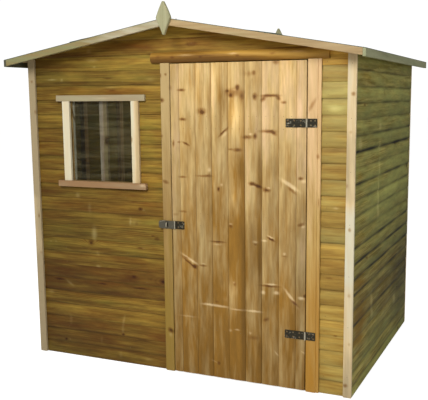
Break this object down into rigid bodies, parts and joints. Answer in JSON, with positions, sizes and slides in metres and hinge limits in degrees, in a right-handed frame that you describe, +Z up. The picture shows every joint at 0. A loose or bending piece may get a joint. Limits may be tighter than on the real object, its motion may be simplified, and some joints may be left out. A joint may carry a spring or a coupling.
{
  "type": "wooden garden shed",
  "caption": "Apex-roofed timber garden shed with horizontal cladding, a ledged and braced boarded door on surface hinges, a hasp and staple, and a small fixed window.",
  "frame": {"origin": "on the ground, at the middle of the shed's width and depth", "axes": "+Z up, the front with the door and window faces -Y, +X to the right seen from the front"},
  "size_m": [2.146, 1.79, 2.0775],
  "materials": {
    "cladding": "pressure-treated horizontal boards, olive to golden brown",
    "door_timber": "planed knotty pine boards, tan",
    "head_timber": "rounded rail, orange brown",
    "trim_timber": "pale planed strips",
    "roof_edge_timber": "sawn edge boards, pale green to tan",
    "finial_timber": "pale grey-green timber",
    "frame_timber": "sawn framing timber",
    "inner_boards": "thin tongued boards",
    "felt": "mineral-faced bitumen felt, dark grey green",
    "ironmongery": "dark lacquered steel with worn edges",
    "glass": "clear pane over a dark inside"
  },
  "bodies": {
    "shed": {"front_wall_left": "cladding", "front_wall_right": "cladding", "front_wall_over_door": "cladding", "back_wall": "cladding", "left_wall": "cladding", "right_wall": "cladding", "door_post_left": "door_timber", "door_post_right": "door_timber", "door_head_board": "head_timber", "corner_trims": "trim_timber", "window_head_and_sill": "trim_timber", "window_sides": "trim_timber", "bargeboards_left": "roof_edge_timber", "bargeboards_right": "roof_edge_timber", "eaves_boards": "roof_edge_timber", "finials": "finial_timber", "front_studs": "frame_timber", "front_sole_plates": "frame_timber", "door_rail": "frame_timber", "window_rails": "frame_timber", "window_mullion": "frame_timber", "glazing_beads": "frame_timber", "back_studs": "frame_timber", "back_sole_plate": "frame_timber", "side_wall_studs": "frame_timber", "side_wall_plates": "frame_timber", "rafters_left": "frame_timber", "rafters_right": "frame_timber", "ridge_beam": "frame_timber", "floor_bearers": "frame_timber", "floor_boards": "inner_boards", "roof_boards_left": "inner_boards", "roof_boards_right": "inner_boards", "roof_felt_left": "felt", "roof_felt_right": "felt", "hinge_post_leaves": "ironmongery", "hasp_staple": "ironmongery", "window_glass": "glass"},
    "door": {"door_boards": "door_timber", "door_ledges": "frame_timber", "door_braces": "frame_timber", "hinge_door_leaves": "ironmongery", "hasp_plate": "ironmongery"},
    "hasp": {"hasp_strap": "ironmongery"}
  },
  "joints": [
    {"name": "door_hinge", "type": "hinge", "parent": "shed", "child": "door", "pos_m": [0.7455, -0.755, 0], "axis": [0, 0, 1], "range_deg": [0, 175]},
    {"name": "hasp_pivot", "type": "hinge", "parent": "door", "child": "hasp", "pos_m": [-0.026, -0.754, 0.87], "axis": [0, 0, 1], "range_deg": [0, 165]}
  ]
}
